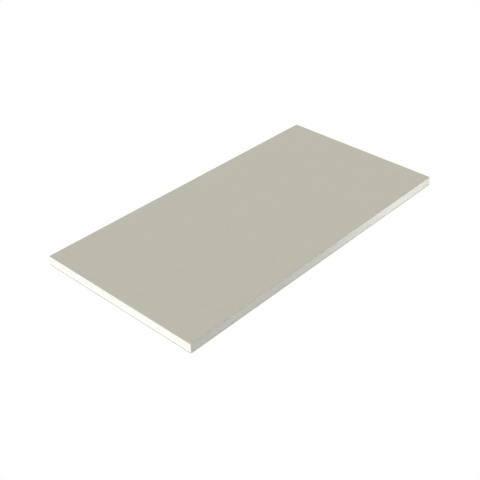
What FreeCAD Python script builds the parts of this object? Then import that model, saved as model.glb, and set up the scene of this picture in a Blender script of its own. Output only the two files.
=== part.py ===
"""Polyisocyanurate roof insulation board, 4 ft x 8 ft x 2.5 in, in millimetres.

The board is three slabs bonded face to face: a bottom facer, a rigid foam core and a top facer.
The facers are the same coated glass-fibre mat, and all three were trimmed together by the same
saws, so their edges are square and flush. The frame's origin is the middle of the underside,
with +X along the length, +Y across the width and +Z up through the thickness.
"""

import FreeCAD
import Part
import Sketcher
import os

OUT_DIR = "parts"
SHEET = "Sizes"

# alias, value in mm, what it is
DRIVING_SIZES = [
    ("board_length", "2438.4", "8 ft, along the way the board was made"),
    ("board_width", "1219.2", "4 ft"),
    ("board_thickness", "63.5", "2.5 in over both facers"),
    ("facer_thickness", "1.0", "coated glass-fibre mat, the same on both faces"),
]

# label, thickness and height of the underside, from the bottom slab to the top one
SLABS = [
    ("bottom_facer", "{s}.facer_thickness", "0 mm"),
    ("foam_core", "{s}.board_thickness - 2 * {s}.facer_thickness", "{s}.facer_thickness"),
    ("top_facer", "{s}.facer_thickness", "{s}.board_thickness - {s}.facer_thickness"),
]


def add_sheet(doc):
    """The spreadsheet of driving dimensions, one row each: alias, value, meaning."""
    sheet = doc.addObject("Spreadsheet::Sheet", SHEET)
    for row, (alias, value, meaning) in enumerate(DRIVING_SIZES, start=1):
        sheet.set(f"A{row}", alias)
        sheet.set(f"B{row}", value)
        sheet.set(f"C{row}", meaning)
        sheet.setAlias(f"B{row}", alias)
    doc.recompute()
    return sheet


def origin_plane(body, role):
    """The body's own origin plane with that role, such as XY_Plane."""
    return next(f for f in body.Origin.OriginFeatures if f.Role == role)


def add_outline(body, label):
    """A sketch of the board's outline, a rectangle centred on the origin of the body's XY plane."""
    sketch = body.newObject("Sketcher::SketchObject", f"{label}_outline")
    sketch.AttachmentSupport = (origin_plane(body, "XY_Plane"), [""])
    sketch.MapMode = "FlatFace"

    # drawn anticlockwise from the -X -Y corner, roughly; the constraints set the real size
    corners = [FreeCAD.Vector(x, y, 0) for x, y in ((-2, -1), (2, -1), (2, 1), (-2, 1))]
    for start, end in zip(corners, corners[1:] + corners[:1]):
        sketch.addGeometry(Part.LineSegment(start, end))

    south, east, north, west = range(4)
    first_point, last_point = 1, 2
    origin = -1
    for line, following in ((south, east), (east, north), (north, west), (west, south)):
        sketch.addConstraint(
            Sketcher.Constraint("Coincident", line, last_point, following, first_point)
        )
    for line in (south, north):
        sketch.addConstraint(Sketcher.Constraint("Horizontal", line))
    for line in (east, west):
        sketch.addConstraint(Sketcher.Constraint("Vertical", line))
    sketch.addConstraint(
        Sketcher.Constraint("Symmetric", south, first_point, north, first_point, origin, first_point)
    )
    drawn_size = 1  # mm, until the expression sets the real one
    for name, kind, line in (("length", "DistanceX", south), ("width", "DistanceY", east)):
        index = sketch.addConstraint(
            Sketcher.Constraint(kind, line, first_point, line, last_point, drawn_size)
        )
        sketch.renameConstraint(index, name)
        sketch.setExpression(f"Constraints.{name}", f"{SHEET}.board_{name}")
    return sketch


def add_slab(doc, label, thickness, underside):
    """One bonded layer: the board's outline padded to its thickness, at its height in the stack."""
    body = doc.addObject("PartDesign::Body", label)
    body.Label = label
    outline = add_outline(body, label)
    pad = body.newObject("PartDesign::Pad", f"{label}_pad")
    pad.Profile = outline
    pad.setExpression("Length", thickness.format(s=SHEET))
    body.setExpression("Placement.Base.z", underside.format(s=SHEET))
    outline.Visibility = False
    return body


def check(doc, bodies):
    """Stops with a message if any object failed or a slab isn't one sound solid."""
    failed = [o.Name for o in doc.Objects if "Invalid" in o.State or "Error" in o.State]
    if failed:
        raise RuntimeError(f"these objects failed to recompute: {failed}")
    for body in bodies:
        shape = body.Shape
        if shape.isNull() or not shape.isValid() or len(shape.Solids) != 1:
            raise RuntimeError(f"{body.Label} isn't one valid solid")


def main():
    doc = FreeCAD.newDocument("RoofInsulationBoard")
    add_sheet(doc)
    bodies = [add_slab(doc, *slab) for slab in SLABS]
    doc.recompute()
    check(doc, bodies)

    os.makedirs(OUT_DIR, exist_ok=True)
    for body in bodies:
        box = body.Shape.BoundBox
        body.Shape.exportStep(os.path.join(OUT_DIR, f"{body.Label}.step"))
        print(
            f"{body.Label}: {box.XLength:.1f} x {box.YLength:.1f} x {box.ZLength:.1f} mm,"
            f" z from {box.ZMin:.1f} to {box.ZMax:.1f}"
        )


main()
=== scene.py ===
"""Polyiso roof insulation board: a sawn foam core between two coated glass-mat facers.

The board lies flat on a pale floor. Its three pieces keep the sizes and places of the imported
frame: every relief below is cut inwards from the frame's own faces, never out of them.
Lengths are in metres. +X runs along the board, +Y across it and +Z up.
"""

import functools
import math

import bpy
import numpy as np
from mathutils import Matrix, Vector


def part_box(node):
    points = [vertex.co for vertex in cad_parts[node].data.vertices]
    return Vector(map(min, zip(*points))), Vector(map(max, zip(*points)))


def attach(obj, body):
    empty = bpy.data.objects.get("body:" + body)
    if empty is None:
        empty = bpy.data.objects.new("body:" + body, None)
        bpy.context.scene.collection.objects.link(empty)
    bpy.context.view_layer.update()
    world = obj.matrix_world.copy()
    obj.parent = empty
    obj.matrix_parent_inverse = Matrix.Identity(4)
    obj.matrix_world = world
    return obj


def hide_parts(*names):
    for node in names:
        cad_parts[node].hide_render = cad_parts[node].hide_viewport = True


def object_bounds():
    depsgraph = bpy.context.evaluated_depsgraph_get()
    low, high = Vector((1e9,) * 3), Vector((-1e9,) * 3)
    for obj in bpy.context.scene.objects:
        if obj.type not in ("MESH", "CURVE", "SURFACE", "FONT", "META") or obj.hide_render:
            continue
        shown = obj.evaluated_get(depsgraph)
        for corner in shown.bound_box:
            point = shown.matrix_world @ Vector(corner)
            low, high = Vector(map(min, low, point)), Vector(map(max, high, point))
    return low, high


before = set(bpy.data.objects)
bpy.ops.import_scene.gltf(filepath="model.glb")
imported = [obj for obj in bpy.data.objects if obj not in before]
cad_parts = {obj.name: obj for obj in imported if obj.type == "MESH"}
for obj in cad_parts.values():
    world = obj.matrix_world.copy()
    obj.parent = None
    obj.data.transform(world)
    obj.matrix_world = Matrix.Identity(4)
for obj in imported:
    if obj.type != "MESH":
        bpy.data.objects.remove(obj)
CAD_BOX = [list(corner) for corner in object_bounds()]

MM = 0.001
BOARD_LOW, BOARD_HIGH = (Vector(corner) for corner in CAD_BOX)
BOARD_MIDDLE = (BOARD_LOW + BOARD_HIGH) / 2

# ------------------------------------------------------------------ colours, as sRGB 0 to 255
FACER_COAT = (187, 185, 172)
FACER_CUT = (140, 137, 127)     # the mat's bare fibres, where the saws cut it
FOAM = (247, 248, 246)
FOAM_SKIN_AND_FOOT_SHADE = (214, 212, 202)     # the denser foam beside the facers; at the bottom it is also painted shade where the board meets the floor


def linear(srgb):
    """An sRGB colour as the linear RGBA that shaders take."""
    def channel(value):
        value /= 255
        return value / 12.92 if value <= 0.04045 else ((value + 0.055) / 1.055) ** 2.4
    return tuple(channel(value) for value in srgb) + (1.0,)


# ------------------------------------------------------------------ relief: seeded smooth noise
def smooth_noise(across, up, cell_across, cell_up, seed, loop=None):
    """Smooth noise from -1 to 1 at the points (across, up). With loop, it repeats across after
    that length, and the cells are made to fit it."""
    if loop is None:
        columns = (across - across.min()) / cell_across
        wide = int(columns.max()) + 2
    else:
        wide = max(1, round(loop / cell_across))
        columns = across / (loop / wide)
    rows = (up - up.min()) / cell_up
    high = int(rows.max()) + 2
    knots = np.random.default_rng(seed).uniform(-1, 1, (wide, high))
    column, row = np.floor(columns).astype(int), np.floor(rows).astype(int)
    a, b = (part * part * (3 - 2 * part) for part in (columns - column, rows - row))
    here, after = column % wide, (column + 1) % wide
    low = knots[here, row] * (1 - a) + knots[after, row] * a
    top = knots[here, row + 1] * (1 - a) + knots[after, row + 1] * a
    return low * (1 - b) + top * b


# ------------------------------------------------------------------ the sawn outline
SAW_WANDER = 0.25 * MM      # how far the saws stray from a straight cut
SAW_WANDER_PITCH = 0.45     # length of one stray
CORNER_WEAR = 0.9 * MM      # how far the four corners are rounded back
WEAR_REACH = 1.35 * MM      # how far along the sides that fades


def outline(xs, ys):
    """The board's outline through these places along X and Y, from the -X -Y corner and
    anticlockwise: the points, the inward directions, the distance round to each, the whole
    distance round, and how near each point is to a corner."""
    sides = [[(x, ys[0]) for x in xs[:-1]], [(xs[-1], y) for y in ys[:-1]],
             [(x, ys[-1]) for x in xs[:0:-1]], [(xs[0], y) for y in ys[:0:-1]]]
    directions = np.array([(0, 1), (-1, 0), (0, -1), (1, 0)])
    points = np.array([point for side in sides for point in side])
    inward = np.repeat(directions, [len(side) for side in sides], axis=0)
    sizes = np.linalg.norm(np.roll(points, -1, axis=0) - points, axis=1)
    around = np.concatenate([[0], np.cumsum(sizes)[:-1]])
    gap = np.full(len(points), np.inf)
    for i, side in enumerate(sides):
        corner = sum(len(before) for before in sides[:i])
        gap = np.minimum(gap, np.linalg.norm(points - points[corner], axis=1))
        inward[corner] += directions[i - 1]    # a corner goes in from both its sides
    return points, inward, around, sizes.sum(), gap


def cut_depth(around, loop, gap):
    """How far inside the frame's box the saws left the edge, the same for all three slabs."""
    no_height = np.zeros_like(around)
    stray = smooth_noise(around, no_height, SAW_WANDER_PITCH, cell_up=1, seed=11, loop=loop)
    wear = CORNER_WEAR * np.exp(-gap / WEAR_REACH)
    return SAW_WANDER * (stray + 1) / 2 + wear


def inset(points, inward, depth):
    """The points moved inwards, each by its depth."""
    return points + inward * depth[:, None]


def new_object(name, vertices, faces, sharp_angle=40):
    """A mesh object from its vertices and faces, smooth but for edges over sharp_angle degrees."""
    mesh = bpy.data.meshes.new(name)
    mesh.from_pydata([tuple(v) for v in vertices], [], faces)
    mesh.validate()
    mesh.polygons.foreach_set("use_smooth", [True] * len(mesh.polygons))
    mesh.set_sharp_from_angle(angle=math.radians(sharp_angle))
    piece = bpy.data.objects.new(name, mesh)
    bpy.context.scene.collection.objects.link(piece)
    return piece


def band_faces(columns, rows):
    """Quads of a closed band whose vertex (column, row) has the index row * columns + column."""
    faces = []
    for row in range(rows - 1):
        for column in range(columns):
            after = (column + 1) % columns
            low, high = row * columns, (row + 1) * columns
            faces.append((low + column, low + after, high + after, high + column))
    return faces


# ------------------------------------------------------------------ the maps that colours are baked on
MAP_MARGIN = 0.004          # clear space round each part of a map, as a share of its width


def quad_places(left, right, lower, upper):
    """The four corners of quads on a map, in the order that band_faces gives them."""
    left, right, lower, upper = np.broadcast_arrays(left, right, lower, upper)
    corners = [(left, lower), (right, lower), (right, upper), (left, upper)]
    return np.stack([np.stack(corner, -1) for corner in corners], -2).reshape(-1, 2)


def flat_places(points, left, right, lower, upper):
    """Points of a flat face, laid on a rectangle of a map."""
    points = np.asarray(points)[:, :2]
    share = (points - points.min(0)) / np.ptp(points, axis=0)
    return np.array([left, lower]) + share * np.array([right - left, upper - lower])


def bonded_face(vertices, ring, middle, rectangle):
    """A plain face: the triangles from a closed ring of vertices to the one in its middle, and
    their places on a rectangle of the map. Seen from outside, the ring runs anticlockwise. As one
    polygon it would be cut into slivers, because its outline has thousands of points."""
    faces = np.column_stack([ring, np.roll(ring, -1), np.full(len(ring), middle)])
    return faces.tolist(), flat_places(vertices[faces.ravel()], *rectangle)


def lay_map(piece, places):
    """Gives a piece its bake map, with a place for each corner of each face in turn."""
    layer = piece.data.uv_layers.new(name="OFBake", do_init=False)
    layer.uv.foreach_set("vector", np.vstack(places).astype(np.float32).ravel())


# ------------------------------------------------------------------ foam core
FOAM_PITCH = 2.2 * MM       # from one vertex to the next
SAW_MARK = 0.10 * MM        # depth of the saw's teeth marks
SAW_MARK_PITCH = 7.0 * MM
SAW_MARK_HEIGHT = 45 * MM
SAW_LEAN = 0.35             # how far a mark leans along the cut for each unit of height
FOAM_SWELL = 0.12 * MM      # cells that sprang back after the cut
FOAM_SWELL_CELL = (38 * MM, 12 * MM)      # along the side, and up it
VOIDS = 120
VOID_DEPTH = (0.25 * MM, 0.75 * MM)
VOID_HALF_LENGTH = (1.8 * MM, 3.3 * MM)
VOID_HEIGHT = (0.7, 1.0)    # a void's height for each unit of its length
VOID_CLEAR = 9.0 * MM       # a void's middle is at least this far from both facers
FACER_BOND = 3.0 * MM       # the foam close to a facer is denser and keeps a plain cut
SIDE_STRIPS = 11            # the four sides lie on the bake map as this many strips
SIDE_MAP_TOP = 0.97         # the strips' share of the map's height; the bonded faces lie above
BONDED_MAP = 0.02           # width of a bonded face there


def foam_voids(around, height, loop, low, high):
    """Depth of the open voids that the saws cut through: short shallow pits, most of them longer
    than high."""
    rng = np.random.default_rng(23)
    depth = np.zeros_like(around)
    for _ in range(VOIDS):
        place = rng.uniform(0, loop)
        level = rng.uniform(low + VOID_CLEAR, high - VOID_CLEAR)
        half_length = rng.uniform(*VOID_HALF_LENGTH)
        half_height = half_length * rng.uniform(*VOID_HEIGHT)
        deep = rng.uniform(*VOID_DEPTH)
        off = (around - place + loop / 2) % loop - loop / 2
        reach = (off / half_length) ** 2 + ((height - level) / half_height) ** 2
        depth = np.maximum(depth, deep * np.clip(1 - reach, 0, 1) ** 0.5)
    return depth


def side_places(columns, rows):
    """The sides' places on the bake map: strips of equal width, one above another."""
    in_strip = math.ceil(columns / SIDE_STRIPS)
    column, row = np.arange(columns)[None, :], np.arange(rows - 1)[:, None]
    strip, column = column // in_strip, column % in_strip
    strip_height = SIDE_MAP_TOP / SIDE_STRIPS
    foot, head = strip * strip_height + MAP_MARGIN, (strip + 1) * strip_height - MAP_MARGIN
    left, right = (MAP_MARGIN + (1 - 2 * MAP_MARGIN) * i / in_strip for i in (column, column + 1))
    lower, upper = (foot + (head - foot) * i / (rows - 1) for i in (row, row + 1))
    return quad_places(left, right, lower, upper)


def foam_relief(way, z, loop, low, high):
    """How deep the cut sides lie below a plain cut, at this way round and this height."""
    lean = (way + SAW_LEAN * (z - low)) % loop
    marks = smooth_noise(lean, z, SAW_MARK_PITCH, SAW_MARK_HEIGHT, seed=3, loop=loop)
    swell = smooth_noise(way, z, *FOAM_SWELL_CELL, seed=5, loop=loop)
    relief = SAW_MARK * (marks + 1) / 2 + FOAM_SWELL * (swell + 1) / 2
    from_facer = np.clip(np.minimum(z - low, high - z) / FACER_BOND, 0, 1)
    return (relief + foam_voids(way, z, loop, low, high)) * from_facer


def foam_core():
    """The foam core: four sawn sides with a fine relief, and two plain bonded faces."""
    low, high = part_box("foam_core")
    cells = [round(size / FOAM_PITCH) for size in high - low]
    xs, ys, levels = (np.linspace(low[axis], high[axis], cells[axis] + 1) for axis in range(3))
    points, inward, around, loop, gap = outline(xs, ys)
    columns, rows = len(points), len(levels)
    way, z = np.tile(around, rows), np.repeat(levels, columns)
    depth = foam_relief(way, z, loop, low.z, high.z) + np.tile(cut_depth(around, loop, gap), rows)
    sides = inset(np.tile(points, (rows, 1)), np.tile(inward, (rows, 1)), depth)
    middles = [(BOARD_MIDDLE.x, BOARD_MIDDLE.y, level) for level in (low.z, high.z)]
    vertices = np.vstack([np.column_stack([sides, z]), middles])

    faces, places = band_faces(columns, rows), [side_places(columns, rows)]
    under, over = np.arange(columns)[::-1], np.arange(columns) + (rows - 1) * columns
    for ring, middle, left in ((under, rows * columns, MAP_MARGIN),
                               (over, rows * columns + 1, 3 * MAP_MARGIN + BONDED_MAP)):
        rectangle = (left, left + BONDED_MAP, SIDE_MAP_TOP + MAP_MARGIN, 1 - MAP_MARGIN)
        flat_faces, flat = bonded_face(vertices, ring, middle, rectangle)
        faces += flat_faces
        places.append(flat)
    piece = new_object("foam_core_sawn", vertices, faces)
    lay_map(piece, places)
    return piece


# ------------------------------------------------------------------ facers
FACER_PITCH = 6.0 * MM      # from one vertex to the next, but for the rim
EDGE_STRIP = 3.0 * MM       # narrow cells along the rim, which keep its rounding off the flat face
FACER_ROUND = 0.60 * MM     # the outer edge that sawing and handling round off
ROUND_STEPS = 3
CUT_BANDS = 2               # the cut shows on the last step of the rounding and below it
LONG_WAVE = (0.42, 0.055)   # size of the slow waves in the mat, along the board and across
BROAD_WAVE = (0.09, 0.07)
LONG_WAVE_SHARE = 0.6       # of the waves' depth, and the rest is the broad ones'
FACER_WAVE = 0.22 * MM      # depth of the waves
FACER_DIMPLE = 0.08 * MM    # depth of the dimples
DIMPLE_CELL = 14 * MM
OUTER_MAP_TOP = 0.925       # the outer face's share of the map's height
RIM_MAP = (0.940, 0.958)    # the rim's strip above it
BONDED_FACER_MAP = (MAP_MARGIN, 0.3, 0.970, 1 - MAP_MARGIN)    # left, right, lower and upper


def facer_line(low, high):
    """Places of the grid's lines from low to high, with a narrow cell at each end."""
    cells = round((high - low) / FACER_PITCH)
    return np.concatenate([[low], np.linspace(low + EDGE_STRIP, high - EDGE_STRIP, cells + 1), [high]])


def facer_relief(x, y, seed):
    """How far the outer face lies below a plain one."""
    wave = (LONG_WAVE_SHARE * smooth_noise(x, y, *LONG_WAVE, seed)
            + (1 - LONG_WAVE_SHARE) * smooth_noise(x, y, *BROAD_WAVE, seed + 1))
    dimple = smooth_noise(x, y, DIMPLE_CELL, DIMPLE_CELL, seed + 2)
    return FACER_WAVE * (wave + 1) / 2 + FACER_DIMPLE * (dimple + 1) / 2


def grid_rim(across, along):
    """A grid's outermost vertices, in the order of outline's points."""
    rim = [(column, 0) for column in range(across - 1)]
    rim += [(across - 1, row) for row in range(along - 1)]
    rim += [(column, along - 1) for column in range(across - 1, 0, -1)]
    rim += [(0, row) for row in range(along - 1, 0, -1)]
    return np.array([row * across + column for column, row in rim])


def rim_rings(points, inward, depth, outer_z, bonded_z, up):
    """The rings of vertices below the outer face: round its edge, and then at the bonded face."""
    rings = []
    for turn in np.linspace(0, math.pi / 2, ROUND_STEPS + 1)[1:]:
        edge = inset(points, inward, depth + FACER_ROUND * (1 - math.sin(turn)))
        rings.append(np.column_stack([edge, outer_z - up * FACER_ROUND * (1 - math.cos(turn))]))
    cut = inset(points, inward, depth)
    rings.append(np.column_stack([cut, np.full(len(cut), bonded_z)]))
    return rings


def outer_face(xs, ys):
    """Quads of the outer face's grid, and their places on the map."""
    rows, columns = (grid.ravel() for grid in np.indices((len(ys) - 1, len(xs) - 1)))
    first, after = rows * len(xs) + columns, (rows + 1) * len(xs) + columns
    faces = np.column_stack([first, first + 1, after + 1, after]).tolist()
    u, v = (MAP_MARGIN + (line - line[0]) / np.ptp(line) * (share - 2 * MAP_MARGIN)
            for line, share in ((xs, 1), (ys, OUTER_MAP_TOP)))
    return faces, quad_places(u[columns], u[columns + 1], v[rows], v[rows + 1])


def rim_faces(upper, lower, upper_level, lower_level):
    """Quads between two rings of the rim, and their places on its strip of the map."""
    faces = np.column_stack([lower, np.roll(lower, -1), np.roll(upper, -1), upper]).tolist()
    step = np.arange(len(upper)) / len(upper)
    return faces, quad_places(step, step + 1 / len(upper), lower_level, upper_level)


def facer(node, name, outer_up):
    """A facer slab, and which of its faces are its cut edge. Its outer face, up or down, is
    gently waved, and its bonded face is plain."""
    low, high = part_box(node)
    bonded_z, outer_z, up = (low.z, high.z, 1) if outer_up else (high.z, low.z, -1)
    seed = 31 if outer_up else 47
    xs, ys = facer_line(low.x, high.x), facer_line(low.y, high.y)
    x, y = (grid.ravel() for grid in np.meshgrid(xs, ys))
    sunk = facer_relief(x, y, seed)
    points, inward, around, loop, gap = outline(xs, ys)
    depth = cut_depth(around, loop, gap)
    rim = grid_rim(len(xs), len(ys))
    x[rim], y[rim] = inset(points, inward, depth + FACER_ROUND).T
    outer = np.column_stack([x, y, outer_z - up * sunk])
    rings = rim_rings(points, inward, depth, outer[rim, 2], bonded_z, up)
    middle = (BOARD_MIDDLE.x, BOARD_MIDDLE.y, bonded_z)
    vertices = np.vstack([outer, *rings, middle])

    parts = [outer_face(xs, ys)]
    band = [rim] + [len(outer) + i * len(rim) + np.arange(len(rim)) for i in range(len(rings))]
    levels = np.linspace(*RIM_MAP, len(band))
    parts += map(rim_faces, band, band[1:], levels, levels[1:])
    parts.append(bonded_face(vertices, band[-1][::-1], len(vertices) - 1, BONDED_FACER_MAP))
    faces = [face for part, _ in parts for face in part]
    places = [place for _, place in parts]
    cut_end = len(faces) - len(rim)
    if not outer_up:
        ends = np.cumsum([len(face) for face in faces])[:-1]
        places = [place[::-1] for place in np.split(np.vstack(places), ends)]
        faces = [face[::-1] for face in faces]
    piece = new_object(name, vertices, faces, sharp_angle=60)
    lay_map(piece, places)
    return piece, range(cut_end - CUT_BANDS * len(rim), cut_end)


# ------------------------------------------------------------------ materials
class Nodes:
    """Short calls that add linked shader nodes to one material."""

    def __init__(self, name):
        self.material = bpy.data.materials.new(name)
        self.material.use_nodes = True
        self.tree = self.material.node_tree
        self.shader = self.tree.nodes["Principled BSDF"]
        self.place = self.tree.nodes.new("ShaderNodeTexCoord").outputs["Object"]

    def add(self, kind, inputs=(), **settings):
        node = self.tree.nodes.new(kind)
        for key, value in settings.items():
            setattr(node, key, value)
        for socket, value in dict(inputs).items():
            if isinstance(value, bpy.types.NodeSocket):
                self.tree.links.new(value, node.inputs[socket])
            else:
                node.inputs[socket].default_value = value
        return node

    def math(self, operation, a, b):
        return self.add("ShaderNodeMath", {0: a, 1: b}, operation=operation).outputs[0]

    def total(self, values):
        return functools.reduce(lambda a, b: self.math("ADD", a, b), values)

    def highest(self, values):
        return functools.reduce(lambda a, b: self.math("MAXIMUM", a, b), values)

    def noise(self, cell, seed, detail, rough=0.5, turn=0.0):
        """Noise from 0 to 1 whose cells have these sizes in metres, turned about +Z by degrees.
        The seed moves it, by another amount along each axis, so that no two patterns agree."""
        turned = self.add("ShaderNodeMapping", {"Vector": self.place,
                          "Rotation": (0, 0, math.radians(turn))})
        scaled = self.add("ShaderNodeMapping", {"Vector": turned.outputs[0],
                          "Scale": tuple(1 / size for size in cell),
                          "Location": (seed, 1.7 * seed, 0.6 * seed)})
        node = self.add("ShaderNodeTexNoise", {"Vector": scaled.outputs[0], "Scale": 1.0,
                        "Detail": detail, "Roughness": rough})
        return node.outputs["Fac"]

    def cells(self, size):
        """A Voronoi node with cells of this size in metres."""
        scaled = self.add("ShaderNodeMapping", {"Vector": self.place,
                          "Scale": (1 / size,) * 3})
        return self.add("ShaderNodeTexVoronoi", {"Vector": scaled.outputs[0], "Scale": 1.0})

    def spots(self, spacing, share, radius):
        """Soft round spots, from 2/7 of this radius up to all of it, in this share of the cells
        of this spacing. A spot is full to half its own radius and fades from there out."""
        cells = self.cells(spacing)
        drawn = self.add("ShaderNodeSeparateXYZ", {0: cells.outputs["Color"]}).outputs
        chosen = self.math("LESS_THAN", drawn[0], share)
        least = 0.4
        reach = self.math("MULTIPLY", self.math("ADD", drawn[1], least),
                          radius / spacing / (1 + least))
        inside = self.ramp(self.math("DIVIDE", cells.outputs["Distance"], reach), 1.0, 0.5)
        return self.math("MULTIPLY", inside, chosen)

    def ramp(self, value, start, end):
        """0 up to start and 1 from end on, smooth between. End may be the lower of the two."""
        node = self.add("ShaderNodeMapRange", {"Value": value, "From Min": start,
                        "From Max": end}, interpolation_type="SMOOTHSTEP")
        return node.outputs["Result"]

    def swing(self, value, amount):
        """A 0 to 1 pattern as a swing of this amount either side of 0."""
        return self.math("MULTIPLY", self.math("SUBTRACT", value, 0.5), 2 * amount)

    def shade(self, colour, factor):
        """A constant colour multiplied by a factor pattern."""
        node = self.add("ShaderNodeVectorMath", {0: colour, "Scale": factor}, operation="SCALE")
        return node.outputs[0]

    def mix(self, factor, a, b):
        node = self.add("ShaderNodeMix", {"Factor": factor, "A": a, "B": b}, data_type="RGBA")
        return node.outputs["Result"]

    def bump(self, height, distance):
        node = self.add("ShaderNodeBump", {"Height": height, "Distance": distance,
                        "Strength": BUMP_STRENGTH})
        self.tree.links.new(node.outputs[0], self.shader.inputs["Normal"])


# A pattern's cell is its size in metres along X, Y and Z. The colour is multiplied by the sum of
# its patterns' swings, what is lighter or darker, and a level.
FIBRE_TURNS = (8, 31, 57, 84, 109, 133, 161)    # degrees from the board's length
FIBRE_CELL = (19 * MM, 0.36 * MM, 19 * MM)
FIBRE_EDGE = (0.68, 0.78)   # the noise's values between which a fibre begins
FIBRE_LIGHTER = 0.075
PINHOLE_DARKER = -0.16
FACER_LEVEL = 0.983         # makes up for the patterns' mean, so that the coat keeps its colour
FACER_ROUGHNESS = 0.88
FACER_BUMP = 0.14 * MM
# Painted shade inside the foam's pores and blowholes: their colour is darkened where the bump sinks
# them.
HOLE_PAINTED_SHADE = -0.09
FOAM_LEVEL = 0.998
FOAM_ROUGHNESS = 0.86
FOAM_BUMP = 0.18 * MM
BUMP_STRENGTH = 0.5
SKIN_SHOWS = 0.8            # the darker band's share of the colour beside a facer: denser skin, and painted shade at the foot
POURED_SKIN_AND_FOOT_SHADE = 6.0 * MM      # denser foam over the bottom facer, which it was poured on, made deeper than the top's to paint the shade where the board meets the floor
RISEN_SKIN = 1.5 * MM       # and under the top facer, which it rose against


def facer_material(name, colour):
    """Matt mineral coat over a chopped glass-fibre mat, streaked faintly along the board. The
    cut edge is the same mat in a colour of its own."""
    nodes = Nodes(name)
    streak = nodes.noise((0.50, 0.022, 0.5), seed=2.3, detail=3)
    band = nodes.noise((0.90, 0.11, 0.9), seed=5.1, detail=2)
    blotch = nodes.noise((0.14, 0.085, 0.14), seed=8.4, detail=5, rough=0.6)
    mottle = nodes.noise((7 * MM, 4 * MM, 7 * MM), seed=3.3, detail=3, rough=0.6)
    fibre = nodes.highest([
        nodes.ramp(nodes.noise(FIBRE_CELL, seed=1 + i, detail=0, turn=turn), *FIBRE_EDGE)
        for i, turn in enumerate(FIBRE_TURNS)])
    grain = nodes.noise((0.9 * MM,) * 3, seed=1.9, detail=3, rough=0.65)
    pinhole = nodes.spots(4.5 * MM, share=0.4, radius=0.7 * MM)
    factor = nodes.total([
        nodes.swing(streak, 0.012), nodes.swing(band, 0.012), nodes.swing(blotch, 0.024),
        nodes.swing(mottle, 0.030), nodes.swing(grain, 0.05),
        nodes.math("MULTIPLY", fibre, FIBRE_LIGHTER),
        nodes.math("MULTIPLY", pinhole, PINHOLE_DARKER), FACER_LEVEL])
    nodes.tree.links.new(nodes.shade(linear(colour)[:3], factor), nodes.shader.inputs["Base Color"])
    rough = nodes.math("ADD", nodes.swing(grain, 0.06), FACER_ROUGHNESS)
    nodes.tree.links.new(rough, nodes.shader.inputs["Roughness"])
    nodes.shader.inputs["Specular IOR Level"].default_value = 0.25
    height = nodes.total([nodes.math("MULTIPLY", fibre, 0.8), nodes.math("MULTIPLY", grain, 0.5),
                          nodes.math("MULTIPLY", pinhole, -0.8)])
    nodes.bump(height, FACER_BUMP)
    return nodes.material


def foam_material():
    """White closed-cell foam: fine cut cells, scattered pores darkened as painted shade, flow bands,
    and a denser skin, darkened deeper at the bottom as painted shade where the board meets the floor.
    """
    nodes = Nodes("closed_cell_foam")
    low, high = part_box("foam_core")
    cell = nodes.cells(0.75 * MM).outputs["Distance"]
    pore = nodes.spots(2.4 * MM, share=0.45, radius=0.45 * MM)
    blowhole = nodes.spots(11 * MM, share=0.3, radius=1.3 * MM)
    hole = nodes.highest([pore, blowhole])
    band = nodes.noise((0.16, 0.16, 0.009), seed=3.7, detail=3)
    blotch = nodes.noise((0.05, 0.05, 0.02), seed=6.2, detail=3)
    scratch = nodes.noise((2.6 * MM, 2.6 * MM, 40 * MM), seed=4.4, detail=3, rough=0.6)
    level = nodes.add("ShaderNodeSeparateXYZ", {0: nodes.place}).outputs["Z"]
    # The skin band is real denser foam, and its deeper bottom part is painted shade where the board
    # meets the floor.
    skin = nodes.highest([nodes.ramp(level, low.z + POURED_SKIN_AND_FOOT_SHADE, low.z),
                          nodes.ramp(level, high.z - RISEN_SKIN, high.z)])
    # The holes' darkening in this sum is painted shade inside the pits.
    factor = nodes.total([
        nodes.swing(band, 0.010), nodes.swing(blotch, 0.008), nodes.swing(scratch, 0.022),
        nodes.swing(cell, 0.012), nodes.math("MULTIPLY", hole, HOLE_PAINTED_SHADE), FOAM_LEVEL])
    body = nodes.shade(linear(FOAM)[:3], factor)
    colour = nodes.mix(nodes.math("MULTIPLY", skin, SKIN_SHOWS), body, linear(FOAM_SKIN_AND_FOOT_SHADE))
    nodes.tree.links.new(colour, nodes.shader.inputs["Base Color"])
    rough = nodes.math("ADD", nodes.swing(scratch, 0.05), FOAM_ROUGHNESS)
    nodes.tree.links.new(rough, nodes.shader.inputs["Roughness"])
    nodes.shader.inputs["Specular IOR Level"].default_value = 0.3
    height = nodes.total([nodes.math("MULTIPLY", cell, 0.45), nodes.math("MULTIPLY", scratch, 1.1),
                          nodes.math("MULTIPLY", hole, -1.4)])
    nodes.bump(height, FOAM_BUMP)
    return nodes.material


# ------------------------------------------------------------------ the board
def finish_piece(piece, node, materials):
    """Ties a piece to the frame and gives it its materials."""
    for material in materials:
        piece.data.materials.append(material)
    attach(piece, "root")
    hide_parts(node)


finish_piece(foam_core(), "foam_core", [foam_material()])
COAT = facer_material("coated_glass_mat", FACER_COAT)
CUT_EDGE = facer_material("cut_mat_edge", FACER_CUT)
for node, name, outer_up in (("top_facer", "top_facer_mat", True),
                             ("bottom_facer", "bottom_facer_mat", False)):
    piece, edge = facer(node, name, outer_up)
    finish_piece(piece, node, [COAT, CUT_EDGE])
    for index in edge:
        piece.data.polygons[index].material_index = 1


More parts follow.
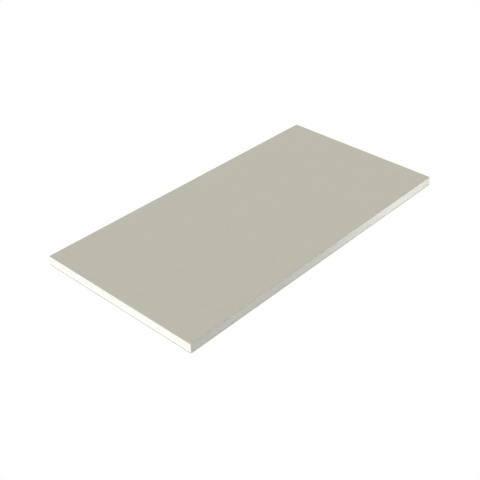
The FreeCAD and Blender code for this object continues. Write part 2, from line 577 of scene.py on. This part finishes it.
# ------------------------------------------------------------------ floor, world and lamps
AMBIENT = 0.20              # the room's plain light, the same from all sides
ROOM_TINT = (1.0, 0.988, 0.92)    # that light, and the light off the floor, are a little warm
KEY_ON_TOP = 0.795          # the key lamp's share of the light on the top face
KEY_ELEVATION = 55.5        # degrees
KEY_TURN = -1               # degrees from -X towards +Y
KEY_SOFTNESS = 18           # degrees across
KEY_AWAY = 5.0              # a place for the sun, of which only the direction counts
FILL_POWER = 2.80           # watts
FILL_SIZE = (0.36, 0.12)    # along the board, and high
FILL_GAP = 0.95             # from the board's long side
FILL_BEFORE_END = 0.33      # from the board's far end, back along its side
FLOOR_BOUNCE = 0.73         # the floor's reflectance as it lights the board
FLOOR_SHADOW = 0.20         # how much of the floor's shading by the lamps shows
PAINTED_CONTACT_REACH = 0.011       # how far from the board its painted contact shadow shows on the floor
FLOOR_HALF = 20.0           # from the floor's middle to its edge
WHITE = (1, 1, 1, 1)


def seen_directly(tree):
    """1 for camera, glossy and transmission rays, and 0 for the rays that carry light."""
    path = tree.nodes.new("ShaderNodeLightPath")
    value = path.outputs["Is Camera Ray"]
    for ray in ("Is Glossy Ray", "Is Transmission Ray"):
        either = tree.nodes.new("ShaderNodeMath")
        either.operation = "MAXIMUM"
        tree.links.new(value, either.inputs[0])
        tree.links.new(path.outputs[ray], either.inputs[1])
        value = either.outputs[0]
    return value


def add_world():
    """Plain ambient light, behind a background that shows white."""
    world = bpy.data.worlds.new("plain_room")
    world.use_nodes = True
    bpy.context.scene.world = world
    tree = world.node_tree
    ambient = tree.nodes["Background"]
    ambient.inputs["Color"].default_value = (*ROOM_TINT, 1)
    ambient.inputs["Strength"].default_value = AMBIENT
    white = tree.nodes.new("ShaderNodeBackground")
    white.inputs["Color"].default_value = WHITE
    mix = tree.nodes.new("ShaderNodeMixShader")
    tree.links.new(seen_directly(tree), mix.inputs[0])
    tree.links.new(ambient.outputs[0], mix.inputs[1])
    tree.links.new(white.outputs[0], mix.inputs[2])
    tree.links.new(mix.outputs[0], tree.nodes["World Output"].inputs["Surface"])


def add_floor():
    """A pale floor. It shows white, with the board's contact shadow painted in by an ambient occlusion
    node that darkens its white emission, and a trace of the lamps' own real shadow.
    """
    corners = [(-FLOOR_HALF, -FLOOR_HALF), (FLOOR_HALF, -FLOOR_HALF),
               (FLOOR_HALF, FLOOR_HALF), (-FLOOR_HALF, FLOOR_HALF)]
    floor = new_object("floor", [(x, y, BOARD_LOW.z) for x, y in corners], [(0, 1, 2, 3)])
    material = bpy.data.materials.new("pale_floor")
    material.use_nodes = True
    tree = material.node_tree
    tree.nodes.remove(tree.nodes["Principled BSDF"])
    bounce, shaded = (tree.nodes.new("ShaderNodeBsdfDiffuse") for _ in range(2))
    bounce.inputs["Color"].default_value = (*(FLOOR_BOUNCE * tint for tint in ROOM_TINT), 1)
    shaded.inputs["Color"].default_value = WHITE
    # Painted contact shadow: the ambient occlusion darkens the emission's colour near the board.
    contact = tree.nodes.new("ShaderNodeAmbientOcclusion")
    contact.inputs["Distance"].default_value = PAINTED_CONTACT_REACH
    white = tree.nodes.new("ShaderNodeEmission")
    tree.links.new(contact.outputs["Color"], white.inputs["Color"])
    shown, mix = (tree.nodes.new("ShaderNodeMixShader") for _ in range(2))
    shown.inputs[0].default_value = FLOOR_SHADOW
    tree.links.new(white.outputs[0], shown.inputs[1])
    tree.links.new(shaded.outputs[0], shown.inputs[2])
    tree.links.new(seen_directly(tree), mix.inputs[0])
    tree.links.new(bounce.outputs[0], mix.inputs[1])
    tree.links.new(shown.outputs[0], mix.inputs[2])
    tree.links.new(mix.outputs[0], tree.nodes["Material Output"].inputs["Surface"])
    floor.data.materials.append(material)


def add_lamp(name, kind, place, aim, **settings):
    """A lamp at a place, turned to an aim, that the camera doesn't see."""
    data = bpy.data.lights.new(name, kind)
    for key, value in settings.items():
        setattr(data, key, value)
    lamp = bpy.data.objects.new(name, data)
    lamp.location = place
    lamp.rotation_mode = "QUATERNION"
    lamp.rotation_quaternion = (Vector(aim) - Vector(place)).to_track_quat("-Z", "Y")
    lamp.visible_camera = False
    bpy.context.scene.collection.objects.link(lamp)


def add_lamps():
    """A soft key from above the -X end, and a low fill beside the +X end of the long side."""
    rise, turn = math.radians(KEY_ELEVATION), math.radians(KEY_TURN)
    key_from = Vector((-math.cos(rise) * math.cos(turn), math.cos(rise) * math.sin(turn),
                       math.sin(rise)))
    add_lamp("key", "SUN", BOARD_MIDDLE + KEY_AWAY * key_from, BOARD_MIDDLE,
             energy=math.pi * KEY_ON_TOP / math.sin(rise), angle=math.radians(KEY_SOFTNESS))
    fill = Vector((BOARD_HIGH.x - FILL_BEFORE_END, BOARD_LOW.y - FILL_GAP,
                   BOARD_LOW.z + FILL_SIZE[1] / 2))
    add_lamp("fill", "AREA", fill, fill + Vector((0, 1, 0)), energy=FILL_POWER,
             shape="RECTANGLE", size=FILL_SIZE[0], size_y=FILL_SIZE[1])


# ------------------------------------------------------------------ camera
LENS_MM = 65.02
SENSOR_MM = 36.0
FAR_CLIP = 100.0
CAMERA_PLACE = Vector((-3.7089, -3.1488, 3.1660))
CAMERA_AIM = Vector((-0.2929, -0.1409, 0.0635))
CAMERA_ROLL = 0.649         # degrees


def add_camera():
    """The camera, at the photograph's viewing angle."""
    data = bpy.data.cameras.new("camera")
    data.sensor_width = SENSOR_MM
    data.lens = LENS_MM
    data.clip_end = FAR_CLIP
    camera = bpy.data.objects.new("camera", data)
    facing = (CAMERA_AIM - CAMERA_PLACE).to_track_quat("-Z", "Y").to_matrix()
    roll = Matrix.Rotation(math.radians(CAMERA_ROLL), 3, "Z")
    camera.matrix_world = Matrix.Translation(CAMERA_PLACE) @ (facing @ roll).to_4x4()
    bpy.context.scene.collection.objects.link(camera)
    bpy.context.scene.camera = camera


add_world()
add_floor()
add_lamps()
add_camera()
bpy.context.scene.view_settings.view_transform = "Standard"
